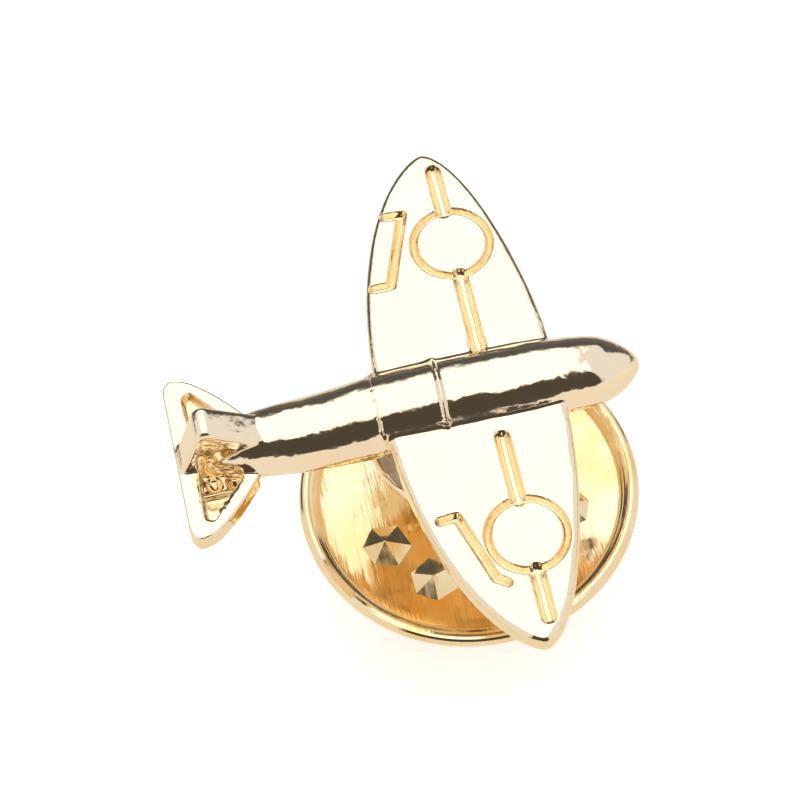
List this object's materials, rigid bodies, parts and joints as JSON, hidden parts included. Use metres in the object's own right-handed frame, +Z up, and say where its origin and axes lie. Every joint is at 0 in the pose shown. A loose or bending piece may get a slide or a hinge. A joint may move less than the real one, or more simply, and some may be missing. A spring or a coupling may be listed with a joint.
{
  "type": "aircraft lapel pin",
  "caption": "Plated lapel pin cast as a propeller aircraft with elliptical wings, on a notched post held by a round butterfly clutch with squeeze wings.",
  "frame": {"origin": "middle of the clutch's flat back, on the axis of the post, where the pin stands", "axes": "+X to the aircraft's nose, +Y along the span to its port wing tip, +Z up along the post, out of the cloth"},
  "size_m": [0.0152, 0.0184, 0.0137],
  "materials": {
    "pale_gold_plate": "polished pale gold plate",
    "rough_braze": "rough as-brazed",
    "post_brass": "turned and plated",
    "clutch_brass": "stamped, brushed gold plate",
    "spring_brass": "spring strip"
  },
  "bodies": {
    "clutch": {"clutch_disc": "clutch_brass", "clutch_can": "clutch_brass", "grip_spring": "spring_brass"},
    "eyelet": {"clutch_eyelet": "clutch_brass"},
    "badge": {"aircraft_casting": "pale_gold_plate", "braze_fillet": "rough_braze", "post_pad": "pale_gold_plate", "post_shank": "post_brass"},
    "wing_fore": {"squeeze_wing_fore": "clutch_brass"},
    "wing_aft": {"squeeze_wing_aft": "clutch_brass"}
  },
  "joints": [
    {"name": "badge_spin", "type": "hinge", "parent": "clutch", "child": "eyelet", "pos_m": [0, 0, 0.005], "axis": [0, 0, 1], "continuous": true},
    {"name": "badge_pull", "type": "slide", "parent": "eyelet", "child": "badge", "axis": [0, 0, 1], "range_m": [0, 0.006]},
    {"name": "squeeze_fore", "type": "hinge", "parent": "clutch", "child": "wing_fore", "pos_m": [0.00245, 0, 0.00305], "axis": [0, 1, 0], "range_deg": [0, 10], "stiffness_Nm_per_rad": 0.0002, "springref_deg": -5.73},
    {"name": "squeeze_aft", "type": "hinge", "parent": "clutch", "child": "wing_aft", "pos_m": [-0.00245, 0, 0.00305], "axis": [0, -1, 0], "range_deg": [0, 10], "stiffness_Nm_per_rad": 0.0002, "springref_deg": -5.73}
  ],
  "couplings": [
    {"joint": "squeeze_aft", "follows": "squeeze_fore", "ratio": 1}
  ]
}
